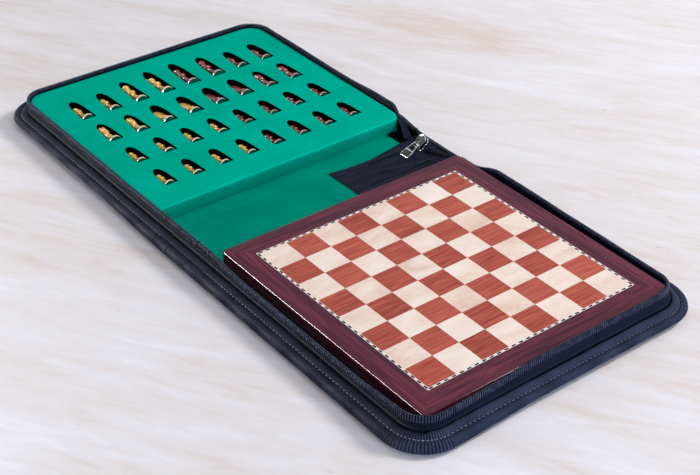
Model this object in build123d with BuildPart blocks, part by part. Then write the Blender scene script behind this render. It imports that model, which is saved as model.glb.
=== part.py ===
"""A zipped travel case, open flat, with a magnetic chess board and a foam tray of chessmen.

Millimetres. X runs along the open case, from the tray half to the board half, with 0 on
the middle of the spine. Y runs along the spine, Z is up and the case lies on Z = 0.
"""

from build123d import *
from math import atan, atan2, cos, degrees, pi, sin
import os

os.makedirs("parts", exist_ok=True)

# Chess board. One square drives the board and, with it, the whole case.
square = 25.0
files = 8
field = files * square
banding = 2.2
border = 19.3
board_side = field + 2 * (banding + border)
board_thickness = 13.0
board_corner = 3.0
board_top_bevel = 1.0
board_bottom_bevel = 0.5
veneer = 0.6
steel = 0.5
veneer_joint = 0.04

# Case, open flat.
board_to_spine = 33.5
board_to_wall = 5.0
edge_width = 15.5
edge_height = 8.0
wall = 1.0
wall_corner = 21.0
board_side_room = 9.0
skin = 1.2
stiffener = 1.6
lining_top = 8.5
roll_width = 11.0
roll_bevel = 2.6
foot_height = 6.5
tooth_bead = 2.4
bead_height = 3.0
board_lift_gap = 0.5
board_bottom = lining_top + board_lift_gap
board_top = board_bottom + board_thickness
bead_top = board_top + 1.0
bead_bottom = bead_top - bead_height

# The two folds lie on the top of the outer skin. Closed, the beads of the two halves meet,
# so the spine is twice as wide as the beads stand above the folds.
bead_gap = 0.6
spine_width = 2 * (bead_top - skin) + bead_gap
fold = spine_width / 2
mitre_gap = 0.4
fabric_gap = 0.4

wall_x = board_to_spine + board_side + board_to_wall
wall_y = board_side / 2 + board_side_room
case_x = wall_x + edge_width
case_y = wall_y + edge_width
case_corner = wall_corner + edge_width
wall_start = fold + lining_top

# Foam tray.
felt = 0.6
foam_top = 18.9
felt_top = foam_top + felt
tray_to_spine = 46.4
tray_to_wall = 0.9
tray_far_corner = 18.0
tray_back_corner = 15.0
tray_near_corner = 3.0
tray_bevel = 2.0
slot_floor = 6.8
slot_pitch = 27.8
slots_in_line = 8

# Where the base end of each line of slots lies, and where one strip of foam meets the next.
line_base_x = {"a": -213.0, "b": -166.0, "c": -122.0, "d": -77.0}
strip_joints = [-206.5, -157.0, -114.0]

# Chessmen: height, base diameter, slot length, slot width and nose width of the slot.
men = {
    "king": (38.0, 13.0, 47.0, 14.4, 9.0),
    "queen": (35.0, 13.0, 42.5, 14.4, 9.0),
    "bishop": (30.5, 12.0, 36.5, 13.4, 8.4),
    "knight": (27.5, 12.4, 35.0, 14.6, 11.0),
    "rook": (25.5, 12.0, 34.0, 13.4, 9.6),
    "pawn": (22.5, 11.0, 28.8, 12.4, 7.6),
}
base_end_gap = 0.8
rest_gap = 0.3
magnet_side = 6.0
magnet_height = 1.6
magnet_glue = 0.1
horse_thickness = 5.2

# Each man is a stack of turned lengths with this many sides, so that 32 men stay light.
# A length is its radius below, its radius above and its upper end, as shares of the base
# radius and of the man's height.
ring_sides = 12
lengths = {
    "king": [
        (1, 1, 0.07), (0.84, 0.55, 0.2), (0.55, 0.36, 0.49), (0.66, 0.58, 0.54),
        (0.42, 0.64, 0.8), (0.56, 0.3, 0.89),
    ],
    "queen": [
        (1, 1, 0.08), (0.84, 0.55, 0.21), (0.55, 0.36, 0.5), (0.66, 0.58, 0.56),
        (0.42, 0.7, 0.88), (0.48, 0.3, 0.94), (0.26, 0.2, 1),
    ],
    "bishop": [
        (1, 1, 0.08), (0.82, 0.5, 0.23), (0.5, 0.34, 0.53), (0.64, 0.56, 0.59),
        (0.42, 0.42, 0.64), (0.58, 0.54, 0.78), (0.54, 0.24, 0.93), (0.24, 0.2, 1),
    ],
    "knight": [(1, 1, 0.08), (0.84, 0.66, 0.24), (0.76, 0.7, 0.3)],
    "rook": [
        (1, 1, 0.08), (0.84, 0.6, 0.24), (0.6, 0.52, 0.66), (0.64, 0.64, 0.7),
        (0.72, 0.72, 1),
    ],
    "pawn": [
        (1, 1, 0.09), (0.82, 0.5, 0.27), (0.5, 0.36, 0.57), (0.62, 0.56, 0.63),
        (0.42, 0.42, 0.67), (0.6, 0.58, 0.87), (0.58, 0.26, 1),
    ],
}

# The horse's outline from the chest round to the nape, as shares of the base diameter and
# the height. Then the king's cross and the rook's notches, as shares of the base diameter.
horse = [
    (-0.3, 0.3), (0.3, 0.3), (0.2, 0.52), (0.4, 0.62), (0.34, 0.74), (0.06, 0.94),
    (-0.04, 1), (-0.12, 0.92), (-0.32, 0.74), (-0.36, 0.5),
]
cross_arm = 0.33
cross_bar = 0.14
notch = 0.16

# Zip slider and pull, at the back end of the spine.
slider_x = -6.0
slider_y = 114.0
slider_width = 11.0
slider_length = 16.0
slider_plate = 1.1
slider_throat = 2.8
slider_wall = 1.4
slider_post = 3.2
patch_thickness = 0.7
patch_length = 97.0
arch_width = 3.0
arch_length = 11.0
arch_bar = 1.3
arch_inside = 3.0
pull_width = 9.0
pull_length = 24.0
pull_thickness = 1.2
pull_bar = 1.5
pull_eye = (3.8, 5.2)
pull_window = (5.0, 8.0)
pull_tilt = 12.0


def draw_half(start, inset, mode=Mode.ADD):
    """Draws one half of the case from above: square at the spine, round at the far corners."""
    far = case_x - inset
    side = case_y - inset
    with BuildLine() as edge:
        sides = FilletPolyline(
            (start, -side),
            (far, -side),
            (far, side),
            (start, side),
            radius=case_corner - inset,
        )
        Line(sides @ 1, sides @ 0)
    make_face(edge.edges(), mode=mode)


def draw_band(start, inset, width):
    """Draws a U-shaped band of the case, open at the spine."""
    draw_half(start, inset)
    draw_half(start - width, inset + width, Mode.SUBTRACT)


def cut_fold(position):
    """Cuts the V above a fold that lets the padding on both sides of it turn up by 90 degrees."""
    rise = case_x / 10
    with BuildSketch(Plane.XZ) as notch:
        with BuildLine():
            Polyline(
                (position - mitre_gap, skin),
                (position + mitre_gap, skin),
                (position + mitre_gap + rise, skin + rise),
                (position - mitre_gap - rise, skin + rise),
                close=True,
            )
        make_face()
    extrude(notch.sketch, amount=case_y, both=True, mode=Mode.SUBTRACT)


def draw_tray(sketch, inset):
    """Draws the foam tray from above, with its own radius at each kind of corner."""
    far = wall_x - wall - tray_to_wall - inset
    near = tray_to_spine + inset
    side = wall_y - wall - tray_to_wall - inset
    with Locations((-(far + near) / 2, 0)):
        Rectangle(far - near, 2 * side)
    by_x = sketch.vertices().group_by(Axis.X)
    far_corners = by_x[0]
    spine_corners = by_x[-1].sort_by(Axis.Y)
    fillet(far_corners, tray_far_corner - inset)
    fillet(spine_corners[0], tray_near_corner - inset)
    fillet(spine_corners[-1], tray_back_corner - inset)


def slot_y(place):
    """Y of the middle of a slot, counted from the near side."""
    return (place - (slots_in_line - 1) / 2) * slot_pitch


def draw_slot(base_x, y, length, width, nose):
    """Draws one slot: straight at the base end, narrowing to a round nose."""
    shoulder = base_x - length + nose / 2
    with BuildLine() as edge:
        Polyline(
            (shoulder, y + nose / 2),
            (base_x - length / 3, y + width / 2),
            (base_x, y + width / 2),
            (base_x, y - width / 2),
            (base_x - length / 3, y - width / 2),
            (shoulder, y - nose / 2),
        )
        ThreePointArc(
            (shoulder, y - nose / 2),
            (base_x - length, y),
            (shoulder, y + nose / 2),
        )
    make_face(edge.edges())


def kind_at(line, place):
    """The kind of man in a slot. Both colours mirror each other about the middle of the line."""
    from_end = min(place, slots_in_line - 1 - place)
    if line == "a":
        return ["bishop", "bishop", "queen", "king"][from_end]
    if line == "b":
        return ["rook", "rook", "knight", "knight"][from_end]
    return "pawn"


def cut_slots(lines):
    """Cuts the slots of the named lines down to the slot floor."""
    with BuildSketch(Plane.XY.offset(slot_floor)) as slots:
        for line in lines:
            for place in range(slots_in_line):
                length, width, nose = men[kind_at(line, place)][2:]
                draw_slot(line_base_x[line], slot_y(place), length, width, nose)
    extrude(slots.sketch, amount=felt_top, mode=Mode.SUBTRACT)


# Board half of the case.
with BuildPart() as board_half_skin:
    with BuildSketch():
        draw_half(fold, roll_width)
    extrude(amount=skin)

with BuildPart() as board_half_stiffener:
    with BuildSketch(Plane.XY.offset(skin)):
        draw_half(fold + stiffener + mitre_gap, edge_width + wall + fabric_gap)
    extrude(amount=stiffener)

with BuildPart() as board_half_lining:
    with BuildSketch(Plane.XY.offset(skin + stiffener)):
        draw_half(fold, edge_width + wall + fabric_gap)
    extrude(amount=lining_top - skin - stiffener)
    cut_fold(fold)

with BuildPart() as board_half_binding:
    middle = case_y - roll_width / 2
    with BuildLine() as roll_path:
        FilletPolyline(
            (fold, -middle),
            (case_x - roll_width / 2, -middle),
            (case_x - roll_width / 2, middle),
            (fold, middle),
            radius=case_corner - roll_width / 2,
        )
    with BuildSketch(Plane((fold, -middle, edge_height / 2), (0, 1, 0), (1, 0, 0))) as roll:
        Rectangle(roll_width, edge_height)
        chamfer(roll.vertices().group_by(Axis.Y)[0], roll_bevel)
    sweep(path=roll_path.wires()[0])
    cut_fold(fold)

with BuildPart() as board_half_gusset:
    with BuildSketch(Plane.XY.offset(skin)):
        draw_band(wall_start, edge_width, wall)
    extrude(amount=bead_bottom - skin)
    with BuildSketch(Plane.XY.offset(skin)):
        draw_band(wall_start, roll_width, edge_width - roll_width)
    extrude(amount=foot_height - skin)

with BuildPart() as board_half_zip_chain:
    with BuildSketch(Plane.XY.offset(bead_bottom)):
        draw_band(wall_start, edge_width + wall / 2 - tooth_bead / 2, tooth_bead)
    extrude(amount=bead_height)
    chain_top = board_half_zip_chain.faces().sort_by(Axis.Z)[-1]
    long_edges = chain_top.edges().filter_by(lambda edge: edge.length > 2 * tooth_bead)
    chamfer(long_edges, tooth_bead / 4)

# Tray half of the case, the mirror image of the board half as far as it goes.
with BuildPart() as tray_half_skin:
    mirror(board_half_skin.part, about=Plane.YZ)

with BuildPart() as tray_half_stiffener:
    mirror(board_half_stiffener.part, about=Plane.YZ)

with BuildPart() as tray_half_binding:
    mirror(board_half_binding.part, about=Plane.YZ)

with BuildPart() as tray_half_gusset:
    mirror(board_half_gusset.part, about=Plane.YZ)

with BuildPart() as tray_half_zip_chain:
    mirror(board_half_zip_chain.part, about=Plane.YZ)

# Padded strip between the foam tray and the fold.
with BuildPart() as tray_half_lining:
    strip_near = fold
    strip_far = tray_to_spine - fabric_gap / 2
    with BuildSketch(Plane.XY.offset(skin + stiffener)):
        with Locations((-(strip_near + strip_far) / 2, 0)):
            Rectangle(strip_far - strip_near, 2 * (wall_y - wall - fabric_gap))
    extrude(amount=lining_top - skin - stiffener)
    cut_fold(-fold)

# Block of foam, then the felt over its top and sides, both cut by the slots.
with BuildPart() as foam_block:
    with BuildSketch(Plane.XY.offset(skin + stiffener)) as under_felt:
        draw_tray(under_felt, felt)
    extrude(amount=foam_top - skin - stiffener)
    chamfer(foam_block.faces().sort_by(Axis.Z)[-1].edges(), tray_bevel - felt / 2)

with BuildPart() as tray_felt:
    with BuildSketch(Plane.XY.offset(lining_top)) as outside:
        draw_tray(outside, 0)
    extrude(amount=felt_top - lining_top)
    chamfer(tray_felt.faces().sort_by(Axis.Z)[-1].edges(), tray_bevel)
    add(foam_block.part, mode=Mode.SUBTRACT)
    cut_slots(line_base_x)

# The foam comes in strips that each hold one line of slots.
strip_ends = [-case_x, *strip_joints, -fold]
foam_strips = {}
for line, left, right in zip(line_base_x, strip_ends[:-1], strip_ends[1:]):
    with BuildPart() as strip:
        add(foam_block.part)
        cut_slots(line)
        with Locations(((left + right) / 2, 0, foam_top / 2)):
            Box(right - left, 2 * case_y, 2 * foam_top, mode=Mode.INTERSECT)
    foam_strips[f"tray_foam_{line}"] = strip

# Spine.
with BuildPart() as spine_skin:
    with BuildSketch():
        Rectangle(spine_width, 2 * (case_y - roll_width))
    extrude(amount=skin)

with BuildPart() as spine_lining:
    with BuildSketch(Plane.XY.offset(skin)):
        Rectangle(spine_width, 2 * (wall_y - wall - fabric_gap))
    extrude(amount=lining_top - skin)
    cut_fold(fold)
    cut_fold(-fold)

# Rolled ends of the spine, which carry the edge across it, and the patch by the slider.
with BuildPart() as spine_end_trim:
    end_width = edge_width - fabric_gap
    for end in (-1, 1):
        with BuildSketch(Plane.YZ):
            with Locations((end * (case_y - end_width / 2), edge_height / 2)):
                Rectangle(end_width, edge_height)
        extrude(amount=fold, both=True)
    outer_edges = spine_end_trim.edges().filter_by(Axis.X).group_by(
        lambda edge: round(abs(edge.center().Y)))[-1]
    chamfer(outer_edges, roll_bevel)
    with Locations((0, case_y - end_width, 0)):
        Box(spine_width, 2 * roll_width, 2 * skin, mode=Mode.SUBTRACT)
    with Locations((0, end_width - case_y, 0)):
        Box(spine_width, 2 * roll_width, 2 * skin, mode=Mode.SUBTRACT)
    with Locations((0, wall_y - wall - patch_length / 2, lining_top + patch_thickness / 2)):
        Box(2 * (fold - lining_top), patch_length, patch_thickness)
    cut_fold(fold)
    cut_fold(-fold)

# Zip tape across the spine: a full wall on the near side, and at the back two ends that
# come down to the slider.
with BuildPart() as spine_zip_tape:
    near_y = wall / 2 - wall_y
    with Locations((0, near_y, (edge_height + bead_bottom) / 2)):
        Box(2 * (wall_start - fabric_gap), wall, bead_bottom - edge_height - fabric_gap)
    with Locations((0, near_y, (bead_bottom + bead_top) / 2)):
        Box(2 * (wall_start - fabric_gap), tooth_bead, bead_height)
    for side in (-1, 1):
        reach_x = side * (wall_start - fabric_gap)
        end_x = slider_x + side * (slider_width / 2 + slider_wall)
        end_y = slider_y + slider_length / 2
        along = atan2(end_y - wall_y + wall, end_x - reach_x)
        run = (end_x - reach_x) / cos(along)
        tape_plane = Plane(
            origin=(reach_x, wall_y - wall, 0),
            x_dir=(cos(along), sin(along), 0),
            z_dir=(sin(along), -cos(along), 0),
        )
        with BuildSketch(tape_plane):
            with BuildLine():
                Polyline(
                    (0, lining_top + 2 * patch_thickness),
                    (0, bead_top - wall),
                    (run, lining_top + slider_throat + wall),
                    (run, lining_top + 2 * patch_thickness),
                    close=True,
                )
            make_face()
        extrude(amount=wall)

# Zip slider: two plates on a post, side walls that hold the beads, and the arch for the pull.
slider_bottom = lining_top + patch_thickness + rest_gap
slider_top = slider_bottom + 2 * slider_plate + slider_throat
arch_y = slider_y - (slider_length - arch_length) / 2 + rest_gap
with BuildPart() as zip_slider_body:
    for height in (slider_bottom, slider_top - slider_plate):
        with BuildSketch(Plane.XY.offset(height)) as plate:
            with Locations((slider_x, slider_y)):
                Trapezoid(slider_width, slider_length, 82)
            fillet(plate.vertices(), slider_plate)
        extrude(amount=slider_plate)
    post_y = slider_y + slider_length / 2 - slider_post
    with Locations((slider_x, post_y, (slider_bottom + slider_top) / 2)):
        Box(slider_post / 2, slider_post, slider_top - slider_bottom)
    lip = slider_wall / 2
    for side in (-1, 1):
        lip_x = slider_x + side * (slider_width / 2 - slider_wall)
        for lip_z in (slider_bottom + slider_plate + lip / 2, slider_top - slider_plate - lip / 2):
            with Locations((lip_x, slider_y - slider_length / 4, lip_z)):
                Box(slider_wall, slider_length / 2, lip + slider_plate)
    arch_height = arch_inside + arch_bar
    with BuildSketch(Plane((slider_x, arch_y, slider_top), (0, 1, 0), (-1, 0, 0))) as arch:
        with Locations((0, -arch_height / 2)):
            Rectangle(arch_length, arch_height)
        fillet(arch.vertices().group_by(Axis.Y)[0], arch_bar)
        with Locations((0, -arch_inside / 2)):
            Rectangle(arch_length - 2 * arch_bar, arch_inside, mode=Mode.SUBTRACT)
    extrude(amount=arch_width / 2, both=True)

pull_axis_y = arch_y - arch_length / 2 + arch_bar + pull_bar
pull_axis_z = slider_top + arch_inside / 2
with BuildPart() as zip_pull:
    with BuildSketch() as tab:
        with Locations((0, pull_bar / 2 - pull_length / 2)):
            Rectangle(pull_width, pull_length)
        fillet(tab.vertices(), pull_width / 5)
        with Locations((0, -pull_bar / 2 - pull_eye[1] / 2)):
            Rectangle(*pull_eye, mode=Mode.SUBTRACT)
        with Locations((0, pull_bar - pull_length + pull_window[1] / 2 + pull_bar)):
            Rectangle(*pull_window, mode=Mode.SUBTRACT)
    extrude(amount=pull_thickness / 2, both=True)

with BuildPart() as zip_pull_tab:
    with Locations(Location((slider_x, pull_axis_y, pull_axis_z), (pull_tilt, 0, 0))):
        add(zip_pull.part)

# Chess board: one block with its top let in for the steel sheet and the veneers.
board_x = board_to_spine + board_side / 2
inlay = field + 2 * banding
with BuildPart() as board_body:
    with Locations((board_x, 0, board_bottom + board_thickness / 2)):
        Box(board_side, board_side, board_thickness)
    fillet(board_body.edges().filter_by(Axis.Z), board_corner)
    chamfer(board_body.faces().sort_by(Axis.Z)[-1].edges(), board_top_bevel)
    chamfer(board_body.faces().sort_by(Axis.Z)[0].edges(), board_bottom_bevel)
    with Locations((board_x, 0, board_top)):
        Box(inlay, inlay, 2 * (veneer + steel), mode=Mode.SUBTRACT)

with BuildPart() as board_steel_sheet:
    with Locations((board_x, 0, board_top - veneer - steel / 2)):
        Box(inlay, inlay, steel)

with BuildPart() as board_banding:
    with Locations((board_x, 0, board_top - veneer / 2)):
        Box(inlay, inlay, veneer)
        Box(field, field, veneer, mode=Mode.SUBTRACT)

squares = {}
for colour, parity in (("light_squares", 0), ("dark_squares", 1)):
    places = [
        (board_x + (row + 0.5 - files / 2) * square, (column + 0.5 - files / 2) * square)
        for row in range(files)
        for column in range(files)
        if (row + column) % 2 == parity
    ]
    with BuildPart() as veneers:
        with BuildSketch(Plane.XY.offset(board_top - veneer)):
            with Locations(*places):
                Rectangle(square - veneer_joint, square - veneer_joint)
        extrude(amount=veneer)
    squares[colour] = veneers


def add_crown(kind):
    """Adds what a man has besides his turned rings."""
    height, base = men[kind][:2]
    if kind == "king":
        arm = cross_arm * base
        bar = cross_bar * base
        with Locations((0, 0, height - arm)):
            Box(bar, bar, 2 * arm)
        with Locations((0, 0, height - arm / 2)):
            Box(bar, arm, bar)
    if kind == "rook":
        width = notch * base
        with Locations((0, 0, height)):
            Box(width, base, width, mode=Mode.SUBTRACT)
            Box(base, width, width, mode=Mode.SUBTRACT)
    if kind == "knight":
        with BuildSketch(Plane.YZ) as side_view:
            with BuildLine() as edge:
                Polyline(*[(out * base, up * height) for out, up in horse], close=True)
            make_face(edge.edges())
        extrude(side_view.sketch, amount=horse_thickness / 2, both=True)


def lean_of(kind):
    """Angle of a man on his side, who rests on the upper rim of his base and on his head."""
    height, base = men[kind][:2]
    rims = [(above * base / 2, end * height) for below, above, end in lengths[kind]]
    if kind == "knight":
        rims.append((horse_thickness / 2, height))
    foot, base_height = rims[0]
    return min(atan2(foot - radius, end - base_height) for radius, end in rims[1:])


# Each kind of man, standing, with a square magnet glued into its base.
standing = {}
for kind in men:
    height, base = men[kind][:2]
    with BuildPart() as man:
        start = 0
        for below, above, end in lengths[kind]:
            flat = base / 2 * cos(pi / ring_sides)
            rise = (end - start) * height
            with BuildSketch(Plane.XY.offset(start * height)):
                RegularPolygon(below * base / 2, ring_sides)
            extrude(amount=rise, taper=degrees(atan((below - above) * flat / rise)))
            start = end
        add_crown(kind)
        pocket = magnet_side + 2 * magnet_glue
        Box(pocket, pocket, 2 * (magnet_height + magnet_glue), mode=Mode.SUBTRACT)
        with Locations((0, 0, magnet_height / 2)):
            Box(magnet_side, magnet_side, magnet_height)
    standing[kind] = man

# The men in their slots: on their sides, heads to the far side, base rim and head resting.
lying = {}
counts = {}
for line in line_base_x:
    for place in range(slots_in_line):
        kind = kind_at(line, place)
        colour = "light" if place < slots_in_line / 2 else "dark"
        foot = men[kind][1] / 2
        base_height = lengths[kind][0][2] * men[kind][0]
        lean = lean_of(kind)
        x = line_base_x[line] - base_end_gap - foot * sin(lean)
        z = slot_floor + rest_gap + foot * cos(lean) + base_height * sin(lean)
        with BuildPart() as man:
            with Locations(Location((x, slot_y(place), z), (0, -90 - degrees(lean), 0))):
                add(standing[kind].part)
        counts[colour, kind] = counts.get((colour, kind), 0) + 1
        number = "" if kind in ("king", "queen") else f"_{counts[colour, kind]}"
        lying[f"{colour}_{kind}{number}"] = man

case_pieces = {
    "board_half_skin": board_half_skin,
    "board_half_stiffener": board_half_stiffener,
    "board_half_lining": board_half_lining,
    "board_half_binding": board_half_binding,
    "board_half_gusset": board_half_gusset,
    "board_half_zip_chain": board_half_zip_chain,
    "tray_half_skin": tray_half_skin,
    "tray_half_stiffener": tray_half_stiffener,
    "tray_half_lining": tray_half_lining,
    "tray_half_binding": tray_half_binding,
    "tray_half_gusset": tray_half_gusset,
    "tray_half_zip_chain": tray_half_zip_chain,
    "tray_felt": tray_felt,
    "spine_skin": spine_skin,
    "spine_lining": spine_lining,
    "spine_end_trim": spine_end_trim,
    "spine_zip_tape": spine_zip_tape,
    "zip_slider_body": zip_slider_body,
    "zip_pull_tab": zip_pull_tab,
    "board_body": board_body,
    "board_steel_sheet": board_steel_sheet,
    "board_banding": board_banding,
}

for name, piece in {**case_pieces, **foam_strips, **squares, **lying}.items():
    piece.part.label = name
    export_step(piece.part, f"parts/{name}.step")
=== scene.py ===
"""Looks of the zipped travel case with its chess board and its foam tray of chessmen.

Sizes are in millimetres and become metres when a mesh is made. X runs from the tray half to
the board half, Y along the spine and Z up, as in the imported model.
"""

import bpy
import bmesh
from math import atan2, cos, exp, pi, radians, sin
from mathutils import Matrix, Vector, noise


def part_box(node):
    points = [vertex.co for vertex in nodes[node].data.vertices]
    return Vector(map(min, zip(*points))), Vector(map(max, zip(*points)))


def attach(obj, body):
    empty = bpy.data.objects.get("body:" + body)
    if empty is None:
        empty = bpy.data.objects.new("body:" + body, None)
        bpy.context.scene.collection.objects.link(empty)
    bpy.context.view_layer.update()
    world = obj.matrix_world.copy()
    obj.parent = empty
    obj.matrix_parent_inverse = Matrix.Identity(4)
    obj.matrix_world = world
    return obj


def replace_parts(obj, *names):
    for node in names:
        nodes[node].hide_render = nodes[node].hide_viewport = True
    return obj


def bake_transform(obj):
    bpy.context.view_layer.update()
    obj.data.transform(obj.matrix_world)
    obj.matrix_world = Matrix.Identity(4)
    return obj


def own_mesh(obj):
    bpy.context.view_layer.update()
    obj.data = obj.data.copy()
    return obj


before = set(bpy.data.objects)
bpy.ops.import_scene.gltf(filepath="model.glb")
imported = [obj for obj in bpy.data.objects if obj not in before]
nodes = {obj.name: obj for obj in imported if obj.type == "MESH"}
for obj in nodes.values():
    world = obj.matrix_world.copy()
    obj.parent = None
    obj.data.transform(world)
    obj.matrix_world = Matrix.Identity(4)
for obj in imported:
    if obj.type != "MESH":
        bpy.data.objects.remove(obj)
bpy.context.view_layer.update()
mm = 0.001


def low(node):
    """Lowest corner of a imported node, in millimetres."""
    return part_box(node)[0] / mm


def high(node):
    """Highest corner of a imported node, in millimetres."""
    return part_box(node)[1] / mm


def new_object(name, data):
    """An object that is linked to the scene."""
    made = bpy.data.objects.new(name, data)
    bpy.context.scene.collection.objects.link(made)
    return made


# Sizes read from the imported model.
case_x, case_y = high("board_half_binding").xy
fold = high("spine_skin").x
skin = high("spine_skin").z
lining_top = high("board_half_lining").z
wall_start = low("board_half_gusset").x
bead_bottom = high("board_half_gusset").z
bead_top = high("board_half_zip_chain").z
board_low = low("board_body")
board_high = high("board_body")
felt_low = low("tray_felt")
felt_high = high("tray_felt")

# Sizes of the case's edge, as in the part's source.
edge_width = 15.5
wall = 1.0
case_corner = 36.5
wall_x = case_x - edge_width
wall_y = case_y - edge_width
fabric_gap = 0.4

# How far from a fold the fabric starts to bend.
bend_reach = 8.6

# Camera: where it stands, what it looks at and how far it is rolled.
camera_place = Vector((0.8323, -0.6295, 0.6766))
camera_target = Vector((0.0789, -0.0306, 0.0220))
camera_roll = radians(0.96)
camera_lens = 76.24
camera_sensor = 36
camera = new_object("camera", bpy.data.cameras.new("camera"))
camera.data.lens = camera_lens
camera.data.sensor_width = camera_sensor
camera.location = camera_place
looking = (camera_target - camera_place).to_track_quat("-Z", "Y").to_matrix()
camera.rotation_euler = (looking @ Matrix.Rotation(camera_roll, 3, "Z")).to_euler()
bpy.context.scene.camera = camera


# Materials.
def node(tree, kind, inputs=None, **settings):
    """Adds a shader node, with its settings and its inputs, each a value or a socket."""
    made = tree.nodes.new(kind)
    for key, value in settings.items():
        setattr(made, key, value)
    for key, value in (inputs or {}).items():
        if isinstance(value, bpy.types.NodeSocket):
            tree.links.new(value, made.inputs[key])
        else:
            made.inputs[key].default_value = value
    return made


# Input and output numbers of a mix node, by what it mixes.
mix_sockets = {"FLOAT": (2, 3, 0), "VECTOR": (4, 5, 1), "RGBA": (6, 7, 2)}


class Surface:
    """A material whose even values sit on its shader's own sockets, and the nodes that vary it."""

    def __init__(self, name, roughness, **sockets):
        self.material = bpy.data.materials.new(name)
        self.material.use_nodes = True
        self.tree = self.material.node_tree
        self.shader = self.tree.nodes["Principled BSDF"]
        self.shader.inputs["Roughness"].default_value = roughness
        for key, value in sockets.items():
            self.shader.inputs[key.replace("_", " ")].default_value = value

    def raw(self, source="Object"):
        """Coordinates in metres."""
        return node(self.tree, "ShaderNodeTexCoord").outputs[source]

    def map(self, vector, **change):
        """Coordinates after a Scale or a Rotation."""
        return node(self.tree, "ShaderNodeMapping", {"Vector": vector, **change}).outputs["Vector"]

    def place(self, scale=(1, 1, 1), source="Object"):
        """Coordinates in metres, stretched by scale."""
        return self.map(self.raw(source), Scale=scale)

    def speckle(self, scale, detail=2.0, distortion=0.0, at=None):
        """Value of a noise texture."""
        values = {"Vector": at or self.place(), "Scale": scale, "Detail": detail, "Distortion": distortion}
        return node(self.tree, "ShaderNodeTexNoise", values).outputs["Fac"]

    def wave(self, period, direction="X", at=None):
        """A sine ripple with this period in metres, across the direction."""
        values = {"Vector": at or self.place(), "Scale": pi / 10 / period}
        settings = {"wave_type": "BANDS", "bands_direction": direction}
        return node(self.tree, "ShaderNodeTexWave", values, **settings).outputs["Fac"]

    def step(self, operation, first, second=0):
        """One step of arithmetic."""
        return node(self.tree, "ShaderNodeMath", {0: first, 1: second}, operation=operation).outputs[0]

    def vectors(self, operation, first, second=(0, 0, 0)):
        """One step of arithmetic on coordinates."""
        values = {0: first, 1: second}
        return node(self.tree, "ShaderNodeVectorMath", values, operation=operation).outputs[0]

    def shares(self, first, first_share, second, second_share):
        """Two values added, each by its share."""
        scaled = self.step("MULTIPLY", first, first_share)
        return self.step("ADD", scaled, self.step("MULTIPLY", second, second_share))

    def pick(self, kind, factor, first, second):
        """The first value where the factor is 0 and the second where it is 1."""
        one, other, out = mix_sockets[kind]
        values = {"Factor": factor, one: first, other: second}
        return node(self.tree, "ShaderNodeMix", values, data_type=kind).outputs[out]

    def ramp(self, factor, *stops):
        """Colours along a factor, each stop a place and a colour."""
        colours = node(self.tree, "ShaderNodeValToRGB", {"Fac": factor})
        elements = colours.color_ramp.elements
        while len(elements) < len(stops):
            elements.new(0.5)
        for element, (position, colour) in zip(elements, stops):
            element.position = position
            element.color = (*colour, 1)
        return colours.outputs["Color"]

    def finish(self, colour, rough=None, bump=None):
        """Sets the colour, the factor and range of roughness, and the height, depth and strength."""
        outputs = {"Base Color": colour}
        if rough:
            values = dict(zip(("Value", "To Min", "To Max"), rough))
            outputs["Roughness"] = node(self.tree, "ShaderNodeMapRange", values).outputs["Result"]
        if bump:
            values = dict(zip(("Height", "Distance", "Strength"), bump))
            outputs["Normal"] = node(self.tree, "ShaderNodeBump", values).outputs["Normal"]
        for name, output in outputs.items():
            self.tree.links.new(output, self.shader.inputs[name])
        return self.material


def felt_material(name, dark, light):
    """Brushed felt, with short fibres and a slow change of nap."""
    look = Surface(
        name, 0.95, Sheen_Weight=0.12, Sheen_Roughness=0.5, Sheen_Tint=(0.0, 1, 0.75, 1),
        Specular_IOR_Level=0.0)
    fibres = look.speckle(1500, 4)
    both = look.shares(fibres, 0.5, look.speckle(28, 3), 0.5)
    return look.finish(look.ramp(both, (0.3, dark), (0.7, light)), bump=(fibres, 0.0004, 0.8))


def nylon_material():
    """Plain woven nylon: two crossing ripples, worn paler on the raised threads."""
    look = Surface(
        "navy_nylon", 0.65, Sheen_Weight=0.06, Sheen_Roughness=0.4, Sheen_Tint=(0.6, 0.65, 1, 1),
        Specular_IOR_Level=0.04)
    weave = look.step("MULTIPLY", look.wave(0.0007, "X"), look.wave(0.0007, "Y"))
    wear = look.speckle(60, 4)
    both = look.shares(weave, 0.55, wear, 0.45)
    colour = look.ramp(both, (0.15, (0.004, 0.005, 0.014)), (0.8, (0.018, 0.022, 0.058)))
    return look.finish(colour, (wear, 0.5, 0.72), (weave, 0.0002, 0.8))


def tape_material(name, rib, dark, light):
    """Ribbed tape: ribs across its length, finer threads along it, from its own unrolled map."""
    look = Surface(
        name, 0.6, Sheen_Weight=0.03, Sheen_Roughness=0.4, Sheen_Tint=(0.4, 0.5, 1, 1),
        Specular_IOR_Level=0.04)
    flat = look.place(source="UV")
    ribs = look.step("POWER", look.wave(rib, "X", flat), 1.6)
    lines = look.shares(ribs, 0.8, look.wave(0.0006, "Y", flat), 0.2)
    wear = look.speckle(70, 4)
    both = look.shares(lines, 0.7, wear, 0.3)
    colour = look.ramp(both, (0.15, dark), (0.85, light))
    return look.finish(colour, (wear, 0.45, 0.7), (lines, 0.0003, 0.8))


def thread_material():
    """Twisted sewing thread."""
    look = Surface("sewing_thread", 0.6, Sheen_Weight=0.2)
    twist = look.wave(0.0004, "DIAGONAL", look.place((1, 1, 0.4)))
    colour = look.ramp(twist, (0.2, (0.10, 0.11, 0.2)), (0.8, (0.36, 0.38, 0.55)))
    return look.finish(colour, bump=(twist, 0.0001))


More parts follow.
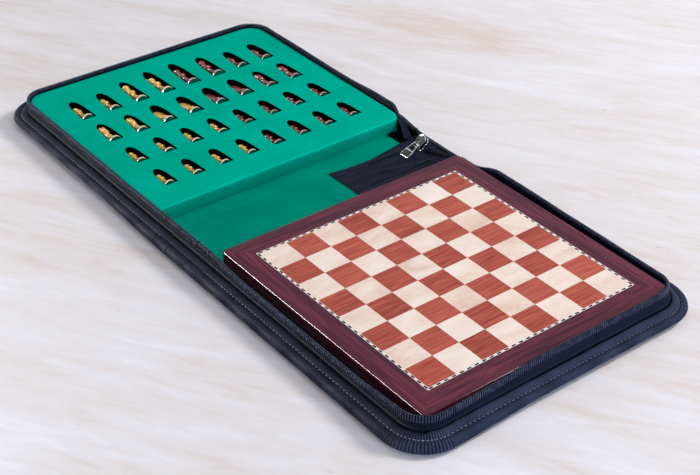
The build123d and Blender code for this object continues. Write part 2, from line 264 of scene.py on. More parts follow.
def coil_material():
    """Smooth moulded plastic of the zip coil."""
    look = Surface("zip_coil", 0.36, Specular_IOR_Level=0.1)
    grime = look.speckle(300, 3)
    colour = look.ramp(grime, (0.3, (0.018, 0.023, 0.042)), (0.75, (0.078, 0.094, 0.155)))
    return look.finish(colour, (grime, 0.22, 0.5), (look.speckle(4000), 0.00005))


def chrome_material(name, dark, light, smooth, rough):
    """Chromed zinc with fine rubbing marks."""
    look = Surface(name, 0.16, Metallic=1.0)
    marks = look.speckle(500, 4, at=look.place((1, 6, 1)))
    colour = look.ramp(marks, (0.3, dark), (0.7, light))
    return look.finish(colour, (marks, smooth, rough), (marks, 0.00006))


def lacquered(name):
    """Base of every lacquered wood."""
    return Surface(name, 0.35, Coat_Weight=0.5, Coat_Roughness=0.06, Specular_IOR_Level=0.0)


def from_board_middle(look):
    """Coordinates in metres from the middle of the board."""
    return look.vectors("SUBTRACT", look.raw(), (board_low + board_high) / 2 * mm)


def board_sides(look, vector):
    """X and Y of board coordinates, how far out each lies, and 1 on the two sides across X."""
    parts = node(look.tree, "ShaderNodeSeparateXYZ", {"Vector": vector})
    x, y = parts.outputs["X"], parts.outputs["Y"]
    out_x, out_y = look.step("ABSOLUTE", x), look.step("ABSOLUTE", y)
    return x, y, out_x, out_y, look.step("GREATER_THAN", out_x, out_y)


def rosewood_material():
    """Dark veneer with its figure along each side of the board, mitred at the corners."""
    look = lacquered("rosewood")
    shifted = from_board_middle(look)
    on_side = board_sides(look, shifted)[-1]
    grain_x = look.map(shifted, Scale=(grain_stretch, 1, 1))
    grain_y = look.map(shifted, Scale=(1, grain_stretch, 1))
    turned = look.pick("VECTOR", on_side, grain_x, grain_y)
    fine = look.speckle(1100, 3, at=turned)
    both = look.shares(look.speckle(260, 5, 1.0, turned), 0.7, fine, 0.3)
    colour = look.ramp(
        both, (0.36, (0.045, 0.009, 0.024)), (0.5, (0.105, 0.018, 0.038)), (0.66, (0.19, 0.034, 0.055)))
    return look.finish(colour, (fine, 0.3, 0.45), (fine, 0.00002, 0.5))


def square_material(name, scale, broad_scale, stops):
    """Veneer that is cut anew for each square: its tone and figure jump at every joint."""
    look = lacquered(name)
    shifted = from_board_middle(look)
    whole = look.vectors("FLOOR", look.vectors("DIVIDE", shifted, (square * mm, square * mm, 1)))
    chance = node(look.tree, "ShaderNodeTexWhiteNoise", {"Vector": whole}).outputs
    turned = look.map(look.vectors("ADD", shifted, chance["Color"]), Scale=scale)
    fine = look.speckle(1400, 3, at=turned)
    grain = look.shares(look.speckle(broad_scale, 4, 1.2, turned), 0.65, fine, 0.25)
    both = look.step("ADD", grain, look.step("MULTIPLY", chance["Value"], 0.12))
    return look.finish(look.ramp(both, *stops), (fine, 0.3, 0.42), (fine, 0.00002, 0.5))


def banding_material():
    """Black dashes let into a white strip, the same number on each side of the field."""
    look = lacquered("inlay_black_white")
    width = (high("board_banding") - low("board_banding")).x
    x, y, out_x, out_y, on_side = board_sides(look, from_board_middle(look))
    along = look.pick("FLOAT", on_side, x, y)
    turn = look.step("MULTIPLY", along, 2 * pi / (width / dashes_on_side * mm))
    dash = look.step("GREATER_THAN", look.step("COSINE", turn), 0.0)
    outward = look.step("MAXIMUM", out_x, out_y)
    from_middle = look.step("ABSOLUTE", look.step("SUBTRACT", outward, (width - banding_width) / 2 * mm))
    inside = look.step("LESS_THAN", from_middle, 0.32 * banding_width * mm)
    fibre = look.speckle(900, 3)
    pale = look.ramp(fibre, (0.3, (0.72, 0.66, 0.58)), (0.7, (0.88, 0.84, 0.78)))
    black = look.step("MULTIPLY", dash, inside)
    colour = look.pick("RGBA", black, pale, (0.008, 0.006, 0.008, 1))
    return look.finish(colour, (fibre, 0.28, 0.42))


def turned_wood_material(name, stops):
    """Waxed wood of the men, with grain along each man."""
    look = Surface(name, 0.38, Coat_Weight=0.45, Coat_Roughness=0.15)
    grain = look.speckle(900, 4, 0.6, look.place((1, 1, 0.12)))
    return look.finish(look.ramp(grain, *stops), (grain, 0.25, 0.42), (grain, 0.00004))


def foam_material():
    """Black closed-cell foam with fine pores."""
    look = Surface("black_foam", 0.85, Specular_IOR_Level=0.0)
    cells = {"Vector": look.place(), "Scale": 1800}
    pores = node(look.tree, "ShaderNodeTexVoronoi", cells).outputs["Distance"]
    colour = look.ramp(pores, (0.1, (0.0012, 0.0012, 0.0012)), (0.7, (0.006, 0.0055, 0.0055)))
    return look.finish(colour, bump=(pores, 0.0002))


def board_fibre_material():
    """Grey fibre board inside the covers."""
    look = Surface("cover_board", 0.85)
    flecks = look.speckle(700, 5, at=look.place((1, 0.3, 1)))
    colour = look.ramp(flecks, (0.3, (0.13, 0.12, 0.11)), (0.7, (0.26, 0.24, 0.21)))
    return look.finish(colour, bump=(flecks, 0.0001))


def steel_material():
    """Rolled steel with lines along the rolling."""
    look = Surface("sheet_steel", 0.35, Metallic=1.0)
    lines = look.speckle(900, 3, at=look.place((0.05, 1, 1)))
    colour = look.ramp(lines, (0.3, (0.36, 0.37, 0.38)), (0.7, (0.58, 0.59, 0.6)))
    return look.finish(colour, (lines, 0.28, 0.45))


def floor_material():
    """Pale bleached stone: faint warm veins, fine streaks along them and small dark pits."""
    look = Surface("pale_floor", 0.6)
    along = look.map(look.raw(), Rotation=(0, 0, -0.55))
    flat = look.map(along, Scale=(1, 5, 1))
    both = look.shares(look.speckle(3.2, 8, 1.2, flat), 0.65, look.speckle(26, 6, 0.8, flat), 0.35)
    stone = look.ramp(
        both, (0.34, (0.71, 0.62, 0.57)), (0.44, (0.76, 0.71, 0.70)), (0.54, (0.79, 0.765, 0.79)),
        (0.66, (0.86, 0.84, 0.875)))
    pits = look.speckle(75, 3, at=look.map(along, Scale=(0.4, 1, 1)))
    chance = look.shares(pits, 0.8, look.speckle(5, 2), 0.2)
    worn = look.step("MULTIPLY", look.step("GREATER_THAN", chance, 0.7), 0.3)
    return look.finish(look.pick("RGBA", worn, stone, (0.3, 0.26, 0.25, 1)))


square = 25.0
dashes_on_side = 29
banding_width = 2.2
grain_stretch = 0.045
felt = felt_material("green_felt", (0.0, 0.33, 0.225), (0.0, 0.47, 0.33))
# A darker copy of the felt for the lining, which lies low between the tray and the board: painted shade.
shaded_lining_felt = felt_material("shaded_lining_felt", (0.0, 0.20, 0.135), (0.0, 0.31, 0.215))
# A darker copy of the felt for the tray block's sides: painted shade.
shaded_side_felt = felt_material("shaded_side_felt", (0.0, 0.17, 0.115), (0.0, 0.26, 0.18))
pad_felt = felt_material("pad_felt", (0.0, 0.06, 0.035), (0.0, 0.11, 0.07))
nylon = nylon_material()
binding = tape_material("ribbed_binding", 0.0018, (0.004, 0.005, 0.011), (0.054, 0.063, 0.122))
zip_tape = tape_material("zip_tape", 0.0016, (0.0015, 0.002, 0.005), (0.014, 0.017, 0.038))
thread = thread_material()
coil = coil_material()
chrome = chrome_material("chromed_zinc", (0.28, 0.29, 0.31), (0.66, 0.66, 0.69), 0.1, 0.3)
# A near-black copy of the chrome for the slider's top plate, its bridge and the pull's sunk panel: painted
# shade and painted dark reflection in these recesses.
dark_shaded_chrome = chrome_material("dark_shaded_chrome", (0.008, 0.010, 0.009), (0.035, 0.040, 0.037), 0.4, 0.6)
rosewood = rosewood_material()
padauk = square_material("padauk", (1, 0.05, 1), 420, (
    (0.32, (0.24, 0.036, 0.024)), (0.48, (0.42, 0.076, 0.050)), (0.66, (0.57, 0.13, 0.085))))
maple = square_material("maple", (0.5, 0.14, 1), 90, (
    (0.3, (0.78, 0.55, 0.44)), (0.48, (0.89, 0.73, 0.61)), (0.66, (0.96, 0.85, 0.77))))
inlay = banding_material()
boxwood = turned_wood_material("boxwood", (
    (0.3, (0.70, 0.33, 0.02)), (0.55, (0.90, 0.52, 0.05)), (0.75, (0.97, 0.72, 0.16))))
stained = turned_wood_material("stained_wood", (
    (0.3, (0.12, 0.010, 0.008)), (0.55, (0.30, 0.028, 0.02)), (0.75, (0.46, 0.07, 0.045))))
# Paler copies of each wood for the rim of a man's base: painted highlight where the rim catches the light.
pale_rim_highlight = turned_wood_material("boxwood_rim_highlight", (
    (0.3, (0.70, 0.56, 0.30)), (0.55, (0.82, 0.70, 0.44)), (0.75, (0.90, 0.82, 0.60))))
dark_rim_highlight = turned_wood_material("stained_rim_highlight", (
    (0.3, (0.34, 0.13, 0.13)), (0.55, (0.52, 0.27, 0.27)), (0.75, (0.68, 0.45, 0.45))))
foam = foam_material()
cover_board = board_fibre_material()
steel = steel_material()


# Meshes.
def skin_faces(first, rows, count):
    """Faces between rows of points, each row a closed ring, and over both ends."""
    faces = []
    for row in range(rows - 1):
        start = first + row * count
        end = start + count
        for column in range(count):
            beside = (column + 1) % count
            faces.append((start + column, start + beside, end + beside, end + column))
    last = first + (rows - 1) * count
    return faces + [tuple(range(first, first + count)), tuple(range(last, last + count))]


def circle(count):
    """Cosine and sine at even steps round a circle."""
    return [(cos(2 * pi * i / count), sin(2 * pi * i / count)) for i in range(count)]


def spread(first, last, step, least):
    """Places from one to another at even steps, of which there are at least so many."""
    count = max(least, round(abs(last - first) / step))
    return [first + (last - first) * i / count for i in range(count + 1)]


def rounded_edge(radius, top, count):
    """How far inward and how high a rounded upper edge runs, from its side to its top."""
    angles = [pi / 2 * i / (count - 1) for i in range(count)]
    return [(radius * (1 - cos(angle)), top - radius + radius * sin(angle)) for angle in angles]


def new_mesh(name, points, faces):
    """A mesh from points in millimetres."""
    mesh = bpy.data.meshes.new(name)
    mesh.from_pydata([Vector(point) * mm for point in points], [], faces)
    return mesh


def finish_mesh(name, mesh, material, crease):
    """Turns normals outward, shades the mesh and puts an object on it."""
    work = bmesh.new()
    work.from_mesh(mesh)
    bmesh.ops.recalc_face_normals(work, faces=work.faces)
    work.to_mesh(mesh)
    work.free()
    mesh.materials.append(material)
    mesh.shade_smooth()
    mesh.set_sharp_from_angle(angle=radians(crease))
    return new_object(name, mesh)


def loft(name, rings, material, crease=35):
    """Skins closed rings of points, in millimetres, and unrolls the skin into a map in metres."""
    count = len(rings[0])
    points = [Vector(point) * mm for ring in rings for point in ring]
    mesh = new_mesh(name, [point for ring in rings for point in ring], skin_faces(0, len(rings), count))
    unrolled = mesh.uv_layers.new(name="unrolled")
    along = [0.0]
    for row in range(1, len(rings)):
        along.append(along[-1] + (points[row * count] - points[(row - 1) * count]).length)
    around = [0.0]
    for column in range(count):
        around.append(around[-1] + (points[(column + 1) % count] - points[column]).length)
    loop = 0
    for face in range((len(rings) - 1) * count):
        row, column = divmod(face, count)
        for step_row, step_column in ((0, 0), (0, 1), (1, 1), (1, 0)):
            unrolled.data[loop].uv = (along[row + step_row], around[column + step_column])
            loop += 1
    return finish_mesh(name, mesh, material, crease)


def join(name, pieces):
    """Joins pieces that share a material and a body into one."""
    with bpy.context.temp_override(active_object=pieces[0], selected_editable_objects=pieces):
        bpy.ops.object.join()
    pieces[0].name = name
    return pieces[0]


soft_rim_angle = radians(50)


def carve(piece, cutters, soft=0.0):
    """Cuts pieces out of another, softens its rims and keeps the outcome as its mesh."""
    for cutter in cutters:
        cut = piece.modifiers.new("cut", "BOOLEAN")
        cut.operation = "DIFFERENCE"
        cut.solver = "EXACT"
        cut.object = cutter
        cut.material_mode = "TRANSFER"
    if soft:
        rims = piece.modifiers.new("soft_rims", "BEVEL")
        rims.width = soft * mm
        rims.segments = 2
        rims.limit_method = "ANGLE"
        rims.angle_limit = soft_rim_angle
        even = piece.modifiers.new("even_shading", "WEIGHTED_NORMAL")
        even.keep_sharp = True
    depsgraph = bpy.context.evaluated_depsgraph_get()
    mesh = bpy.data.meshes.new_from_object(piece.evaluated_get(depsgraph), depsgraph=depsgraph)
    piece.modifiers.clear()
    piece.data = mesh
    if not soft:
        mesh.shade_smooth()
        mesh.set_sharp_from_angle(angle=soft_rim_angle)
    for cutter in cutters:
        bpy.data.objects.remove(cutter)


class Sample:
    """One place on a path and the way outward from the case there."""

    def __init__(self, x, y, out_x, out_y):
        self.x, self.y, self.out_x, self.out_y = x, y, out_x, out_y

    def at(self, out, up, ahead=0.0):
        """The point that lies this far outward, up and ahead of the sample."""
        x = self.x + out * self.out_x - ahead * self.out_y
        return x, self.y + out * self.out_y + ahead * self.out_x, up


def edge_path(side, inset, step, start):
    """Samples round one half, from the near side of the spine to the back side."""
    radius = case_corner - inset
    half = case_y - inset
    far = case_x - inset
    straight_x = far - radius - start
    straight_y = 2 * (half - radius)
    arc = radius * pi / 2
    total = 2 * straight_x + straight_y + 2 * arc
    count = round(total / step)
    samples = []
    for index in range(count + 1):
        left = total * index / count
        if left <= straight_x:
            x, y, angle = start + left, -half, -pi / 2
        elif left <= straight_x + arc:
            angle = (left - straight_x) / radius - pi / 2
            x, y = far - radius + radius * cos(angle), radius - half + radius * sin(angle)
        elif left <= straight_x + arc + straight_y:
            x, y, angle = far, radius - half + left - straight_x - arc, 0
        elif left <= straight_x + 2 * arc + straight_y:
            angle = (left - straight_x - arc - straight_y) / radius
            x, y = far - radius + radius * cos(angle), half - radius + radius * sin(angle)
        else:
            x, y, angle = start + total - left, half, pi / 2
        samples.append(Sample(side * x, y, side * cos(angle), sin(angle)))
    return samples


def line_path(end, inset, step, first, last):
    """Samples straight across the spine: end is -1 on the near side and 1 at the back."""
    y = end * (case_y - inset)
    return [Sample(x, y, 0, end) for x in spread(first, last, step, 2)]


def ease(value, start=0.0, length=1.0):
    """Goes smoothly from 0 to 1 as a value runs on from a start over a length."""
    share = min(1.0, max(0.0, (value - start) / length))
    return share * share * (3 - 2 * share)


def drift(sample, size, seed):
    """A slow random value from -1 to 1 along a path."""
    return noise.noise((sample.x / size, sample.y / size, seed))


# Rolled edge. Its section is measured outward from the wall and up from the floor: a padded
# ridge by the wall, the dip of the seam, and the rounded outer part.
roll_section = [
    (0.3, 6.0), (0.4, 9.6), (1.0, 10.6), (2.2, 10.8), (3.8, 10.1), (5.4, 9.0), (6.4, 7.9),
    (6.9, 7.6), (7.5, 8.0), (9.2, 8.2), (11.2, 7.9), (13.0, 7.0), (14.5, 5.4), (15.3, 3.6),
    (15.1, 2.0), (14.2, 0.8), (12.2, 0.15), (8.0, 0.0), (4.6, 0.0), (4.4, 1.6), (0.6, 1.6),
]
seam_out, seam_up = 6.9, 7.6
rib_pitch, rib_depth = 1.8, 0.28
# Where the binding's ends overlap, and how far the back edge is drawn in beside the slider.
overlap_x, overlap_width = 137.0, 2.5
pulled_share, pulled_reach = 0.47, 52
# How much of the inner ridge stands, on the board half's far side, at the back and elsewhere.
ridge_far, ridge_back, ridge_near = 1.0, 0.75, 0.45
ridge_low, ridge_full = 8.2, 8.0
edge_lift, edge_flattening = 3.3, 0.36


def off_floor(x, y):
    """How far the outer edge stands off the floor, as a share of its full lift."""
    near = 0.25 + 0.8 * ease(-x, 20, 110)
    return near + (1.1 - near) * ease(y, -125, 110)


def roll_point(sample, out, up, rib=0.0):
    """A point of the rolled edge after its lumps, its lift, its overlap and its pulled-in end."""
    lump = 0.4 * drift(sample, 45, 1) + 0.2 * drift(sample, 12, 2)
    past = (sample.x - overlap_x) / overlap_width
    puff = 0.0
    if sample.out_y < -0.9 and sample.x > 0:
        puff = 0.6 * (1 - ease(past)) * ease(sample.x, 20, 90) - exp(-past * past)
    ridge = ridge_far if sample.out_x > 0 else ridge_back
    if sample.out_y < -0.5 or sample.out_x < 0:
        ridge = ridge_near
    pulled = pulled_share * exp(-(sample.x / pulled_reach) ** 4) if sample.out_y > 0.9 else 0.0
    outer = ease(out, 5, 8)
    raised = min(1.0, up / 4)
    lift = off_floor(sample.x, sample.y) * outer
    height = up + (lump * 0.5 + puff * 0.4 + rib * 0.5) * raised
    height += lift * (edge_lift - edge_flattening * up)
    if up > ridge_low:
        height -= (1 - ridge) * (up - ridge_full)
    width = out * (1 - 0.1 * lift - pulled) + (rib + lump * 0.4 + puff * 0.3) * outer
    return sample.at(width - edge_width, max(0.0, height))


def roll_rings(samples):
    """Rings of the rolled edge, every other one sunk between two ribs."""
    rings = []
    for index, sample in enumerate(samples):
        rib = rib_depth if index % 2 else -rib_depth
        ring = [roll_point(sample, out, up, rib if up > 0.3 else 0.0) for out, up in roll_section]
        rings.append(ring)
    return rings


# Wall of woven tape: its height and its outward bulge, with the piping above the rolled edge.
wall_foot, piping_top, wall_crest = skin + 0.2, 12.6, 18.6
wall_section = [
    (wall_foot, 0.0), (10.2, 0.0), (10.7, 0.5), (11.4, 0.75), (12.2, 0.5), (piping_top, -0.1),
    (13.4, 0.1), (15.6, 0.2), (17.6, 0.05), (wall_crest, -0.2),
]
wall_cloth = 0.85
# How far the wall sinks beside the slider and at mid-length of its near side, and how far it leans.
board_back_sink, tray_back_sink, near_sink = 8.6, 8.4, 2.4
far_rise, far_lean, tray_back_lean, near_lean = 1.2, 3.1, 2.6, 0.8


def wall_shift(sample):
    """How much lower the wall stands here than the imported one, and how far it leans out."""
    x, y = sample.x, sample.y
    drop = 0.1 + 0.3 * drift(sample, 60, 5)
    lean = 0.3 * drift(sample, 50, 6)
    if x > 0:
        inward = ease(y, -105, 110) * ease(x, 100, 150)
        drop -= far_rise * inward
        lean -= far_lean * inward
    if sample.out_y > 0.9:
        if x > 0:
            drop += board_back_sink * (1 - ease(x, 44, 34))
        else:
            drop += tray_back_sink * ease(x, -66, 18)
            lean += tray_back_lean * ease(x, -130, 40) * (1 - ease(x, -70, 16))
    if sample.out_y < -0.9 and x > wall_start:
        slump = ease(x, wall_start, 50) * ease((wall_x - 10 - x) / 60)
        drop += near_sink * slump
        lean += near_lean * slump
    return drop, lean


def wall_rings(samples):
    """Rings of the wall: its sewn foot, the piping above the rolled edge and the zip tape."""
    rings = []
    for sample in samples:
        drop, lean = wall_shift(sample)
        top = max(bead_bottom + 1.0 - drop, piping_top + 0.4)
        squeeze = (top - piping_top) / (wall_crest - piping_top)
        levels = []
        for up, out in wall_section:
            levels.append((up if up < piping_top else piping_top + (up - piping_top) * squeeze, out))
        ring = []
        for thickness, pairs in ((0.0, levels), (wall_cloth, reversed(levels))):
            for up, out in pairs:
                share = (up - wall_foot) / (top - wall_foot)
                outward = (min(out, 0.0) if thickness else out) - thickness
                ring.append(sample.at(outward + lean * share * share, up))
        rings.append(ring)
    return rings


tooth_pitch, tooth_width = 2.0, 0.85
# A tooth is a bent wire over the tape's edge: outward, up from the bead's top, half thickness.
tooth_line = [
    (0.35, -5.4, 0.25), (0.55, -4.8, 0.38), (0.62, -1.5, 0.42), (0.35, -0.45, 0.46),
    (-0.5, -0.35, 0.5), (-1.35, -0.55, 0.46), (-1.6, -1.5, 0.4), (-1.5, -2.6, 0.25),
]
tooth_corners = [(1, 0.5), (1, -0.5), (-0.4, -0.5), (-0.4, 0.5)]
# The cord inside the teeth: how far in and down its middle lies, and its two half widths.
core_in, core_down, core_out, core_up = 0.5, 1.35, 0.8, 0.85


def teeth_piece(name, samples):
    """One row of coil teeth, each a bent wire that hooks over the top edge of the tape."""
    points, faces, core_rings = [], [], []
    for sample in samples:
        drop, lean = wall_shift(sample)
        faces += skin_faces(len(points), len(tooth_line), len(tooth_corners))
        for row, (out, up, half) in enumerate(tooth_line):
            slope = row / (len(tooth_line) - 1) * pi
            aside, above = half * cos(slope), half * sin(slope)
            for side, ahead in tooth_corners:
                height = bead_top - drop + up + side * above
                points.append(sample.at(out + lean + side * aside, height, ahead * tooth_width))
        middle = bead_top - drop - core_down
        core_rings.append([
            sample.at(lean - core_in + core_out * across, middle + core_up * up)
            for across, up in circle(8)
        ])
    teeth = finish_mesh(name, new_mesh(name, points, faces), coil, 50)
    return teeth, loft(name + "_core", core_rings, zip_tape)


stitch_length, stitch_radius, stitch_corners = 2.4, 0.3, 5
# Along a stitch: how far ahead, its share of the full radius and how deep it lies.
stitch_line = [(-0.5, 0.35, 0.3), (-0.3, 1, 0), (0.3, 1, 0), (0.5, 0.35, 0.3)]


def stitch_piece(name, samples):
    """A row of stitches in the seam's dip: short rounded threads that dip in at both ends."""
    points, faces = [], []
    for index, sample in enumerate(samples):
        faces += skin_faces(len(points), len(stitch_line), stitch_corners)
        middle = seam_out + 0.35 * noise.noise((index * 0.7, 4.0, 0.0))
        for ahead, share, sink in stitch_line:
            for across, up in circle(stitch_corners):
                x, y, z = roll_point(sample, middle + stitch_radius * share * across, seam_up + 0.15)
                x -= ahead * stitch_length * sample.out_y
                y += ahead * stitch_length * sample.out_x
                points.append((x, y, z - sink + stitch_radius * share * up))
    return finish_mesh(name, new_mesh(name, points, faces), thread, 60)


def bend(piece, side, width=bend_reach):
    """Bakes a piece's placement into its mesh; the ends of the fold on this side of the spine are worked out
    but not used.
    """
    if side > 0:
        ends = (fold + width, 0, skin), (fold - width, 0, skin)
    else:
        ends = (width - fold, 0, skin), (-fold - width, 0, skin)
    start, end = [Vector(point) * mm for point in ends]
    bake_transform(piece)
    return piece


def make_edge(side, half):
    """Rolled edge, wall, teeth and stitches of one half, with the lengths of rolled edge that lie over its
    fold.
    """
    start = fold + bend_reach
    roll = loft(f"{half}_rolled_edge", roll_rings(edge_path(side, 0, rib_pitch / 2, start)), binding, 60)
    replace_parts(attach(roll, half), f"{half}_binding")
    walls = loft(f"{half}_zip_wall", wall_rings(edge_path(side, edge_width, 3, wall_start)), zip_tape, 60)
    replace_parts(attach(walls, half), f"{half}_gusset")
    chain = edge_path(side, edge_width, tooth_pitch, wall_start)
    teeth, core = teeth_piece(f"{half}_zip_teeth", chain)
    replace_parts(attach(teeth, half), f"{half}_zip_chain")
    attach(core, half)
    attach(stitch_piece(f"{half}_stitches", edge_path(side, 0, 4.0, start + 2)), half)
    for end, place_name in ((-1, "near"), (1, "back")):
        across = line_path(end, 0, rib_pitch / 2, side * (fold + bend_reach), side * (fold - bend_reach))
        bent = loft(f"{half}_{place_name}_edge_bend", roll_rings(across), binding, 60)
        bend(bent, side)


make_edge(1, "board_half")
make_edge(-1, "tray_half")

# Edge, wall and teeth across the middle of the spine.
middle_reach = fold - bend_reach
across = line_path(-1, 0, rib_pitch / 2, middle_reach, -middle_reach)
spine_roll = loft("spine_near_edge", roll_rings(across), binding, 60)
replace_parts(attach(spine_roll, "spine"), "spine_end_trim")


def crumple(piece, joint):
    """Puts a soft piece of the spine on the spine's body, with a mesh of its own."""
    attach(piece, "spine")
    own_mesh(piece)


for name, first, last, joint in (
    ("spine_back_edge_board_side", middle_reach, 0.0, "spine_fold"),
    ("spine_back_edge_tray_side", 0.0, -middle_reach, "tray_fold"),
):
    half_roll = loft(name, roll_rings(line_path(1, 0, rib_pitch / 2, first, last)), binding, 60)
    crumple(half_roll, joint)

middle_gap = 1.0
for name, first, last, side, joint in (
    ("spine_near_wall_board_side", middle_reach, 0.0, 0, "spine_fold"),
    ("spine_near_wall_tray_side", 0.0, -middle_reach, 0, "tray_fold"),
    ("board_near_wall_bend", wall_start, middle_reach, 1, ""),
    ("tray_near_wall_bend", -middle_reach, -wall_start, -1, ""),
):
    near_wall = loft(name, wall_rings(line_path(-1, edge_width, 2, first, last)), zip_tape, 60)
    across = line_path(-1, edge_width, tooth_pitch, first or -middle_gap, last or middle_gap)
    for piece in (near_wall, *teeth_piece(name + "_teeth", across)):
        if side:
            bend(piece, side)
        else:
            crumple(piece, joint)


# Lining and covers.
def outline(side, inset, start, corner_points=10):
    """Points round one half of the case seen from above."""
    radius = case_corner - inset
    half = case_y - inset
    far = case_x - inset
    points = [(side * start, -half)]
    for middle_y, first in ((radius - half, -pi / 2), (half - radius, 0)):
        for index in range(corner_points + 1):
            angle = first + pi / 2 * index / corner_points
            points.append((side * (far - radius + radius * cos(angle)), middle_y + radius * sin(angle)))
    points.append((side * start, half))
    return points


def shrunk(points, amount):
    """The outline moved inward by an amount, scaled about its middle."""
    xs = [x for x, y in points]
    ys = [y for x, y in points]
    middle_x, middle_y = (min(xs) + max(xs)) / 2, (min(ys) + max(ys)) / 2
    scale_x = 1 - 2 * amount / (max(xs) - min(xs))
    scale_y = 1 - 2 * amount / (max(ys) - min(ys))
    return [
        (middle_x + (x - middle_x) * scale_x, middle_y + (y - middle_y) * scale_y) for x, y in points
    ]


def slab(name, points, bottom, top, rounding, material):
    """A flat slab with rounded upper edges."""
    rings = [[(x, y, bottom) for x, y in points]]
    for inward, height in rounded_edge(rounding, top, 5):
        rings.append([(x, y, height) for x, y in shrunk(points, inward)])
    return loft(name, rings, material)


pad_foot = skin + 1.65
pad_height = lining_top - 0.35
# Creases of the lining at the folds and by the tray: where each lies, its depth and its width.
creases = [(-26.0, 1.5, 1.3), (fold, 0.8, 1.6), (-45.5, 0.9, 1.8)]


def pad_top(x, y, reach):
    """Height of the green lining, with its soft creases and a slow swell."""
    height = pad_height
    for place_x, depth, width in creases:
        shift = (x - place_x - 0.012 * y) / width
        height -= depth * exp(-shift * shift)
    height += 0.3 * noise.noise((x / 22, y / 45, 3.0))
    edge = max(0.0, abs(y) - reach + 3) / 3
    return height - 1.2 * edge * edge


def pad(name, first, last, half_width, step=2.4):
    """A strip of the padded lining between two places along X."""
    places = spread(first, last, step, 3)
    rows = round(2 * half_width / 4)
    rings = []
    for row in range(rows + 1):
        y = -half_width + 2 * half_width * row / rows
        top = [(x, y, pad_top(x, y, half_width)) for x in places]
        rings.append(top + [(x, y, pad_foot) for x in reversed(places)])
    # The lining strips take the darker copy of the felt: painted shade.
    made = loft(name, rings, shaded_lining_felt, 60)
    return made


inside_y = wall_y - wall - fabric_gap
lining_start = fold + bend_reach
board_pad = slab(
    "board_half_pad", outline(1, edge_width + wall + fabric_gap, lining_start),
    pad_foot, pad_height, 1.2, shaded_lining_felt)
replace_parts(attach(board_pad, "board_half"), "board_half_lining")
tray_strip = pad("tray_half_pad", -lining_start, low("tray_half_lining").x, inside_y)
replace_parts(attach(tray_strip, "tray_half"), "tray_half_lining")
spine_pad = pad("spine_pad", middle_reach, -middle_reach, inside_y)
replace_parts(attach(spine_pad, "spine"), "spine_lining")
bend(pad("board_fold_pad", lining_start, middle_reach, inside_y, 1.2), 1)
bend(pad("tray_fold_pad", -middle_reach, -lining_start, inside_y, 1.2), -1)

# Outer cover: one sheet of nylon from half to half, in lengths on each half, on the spine and over each
# fold.
cover_inset = 11.6
cover_thickness = 1.0
for side, half in ((1, "board_half"), (-1, "tray_half")):
    cover = slab(
        f"{half}_cover", outline(side, cover_inset, lining_start), 0.0, cover_thickness, 0.3, nylon)
    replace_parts(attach(cover, half), f"{half}_skin")


def cover_strip(name, first, last, step=1.2):
    """A flat length of the cover across the spine, fine enough to bend."""
    half, top = case_y - cover_inset, cover_thickness
    rings = [
        [(x, -half, 0.0), (x, half, 0.0), (x, half, top), (x, -half, top)]
        for x in spread(first, last, step, 2)
    ]
    return loft(name, rings, nylon)


spine_cover = cover_strip("spine_cover", middle_reach, -middle_reach)
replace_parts(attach(spine_cover, "spine"), "spine_skin")
bend(cover_strip("board_fold_cover", lining_start, middle_reach), 1)
bend(cover_strip("tray_fold_cover", -middle_reach, -lining_start), -1)


# Foam tray: a felt-covered block with its slots cut through the felt into black foam.
slot_pitch = 27.8
slots_in_line = 8
slot_floor = 9.0
men_raise = 2.2
# A slot starts past the man's base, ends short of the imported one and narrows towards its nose.
slot_slack, slot_trim, slot_taper = 1.2, 1.5, 0.2
line_base_x = {"a": -213.0, "b": -166.0, "c": -122.0, "d": -77.0}
# Height and base of each kind of man, and length and width of his slot.
men = {
    "king": (38.0, 13.0, 47.0, 14.4), "queen": (35.0, 13.0, 42.5, 14.4),
    "bishop": (30.5, 12.0, 36.5, 13.4), "knight": (27.5, 12.4, 35.0, 14.6),
    "rook": (25.5, 12.0, 34.0, 13.4), "pawn": (22.5, 11.0, 28.8, 12.4),
}
from_end_kinds = {"a": ["bishop", "bishop", "queen", "king"], "b": ["rook", "rook", "knight", "knight"]}
tray_foot = skin + 1.8
tray_round, tray_soft_rim = 3.2, 0.45
tray_corners = (18.0, 3.0, 15.0, 18.0)
shaded_felt_depth = 1.2


def slot_y(index):
    """Y of the middle of a slot, counted from the near side."""
    return (index - (slots_in_line - 1) / 2) * slot_pitch


def kind_at(line, index):
    """The kind of man in a slot."""
    from_end = min(index, slots_in_line - 1 - index)
    return from_end_kinds[line][from_end] if line in from_end_kinds else "pawn"


def slot_outline(base_x, y, length, width):
    """Points round a slot, like a bullet: square at the base end and bulging to a round nose."""
    sides = []
    for index in range(15):
        share = sin(pi / 2 * index / 14)
        half = width / 2 * (1 - slot_taper * share) * (1 - share ** 6) ** 0.5
        sides.append((base_x - length * share, half))
    there = [(x, y + half) for x, half in sides]
    return there + [(x, y - half) for x, half in reversed(sides[:-1])]


def rounded_rectangle(low_x, high_x, half_y, radii, count=9):
    """Points round a rectangle: its radii are near low, near high, back high and back low."""
    points = []
    corners = [
        (low_x, -half_y, 1, 1, pi), (high_x, -half_y, -1, 1, 1.5 * pi),
        (high_x, half_y, -1, -1, 0), (low_x, half_y, 1, -1, 0.5 * pi),
    ]
    for (x, y, in_x, in_y, first), radius in zip(corners, radii):
        for index in range(count):
            angle = first + pi / 2 * index / (count - 1)
            points.append((x + radius * (in_x + cos(angle)), y + radius * (in_y + sin(angle))))
    return points


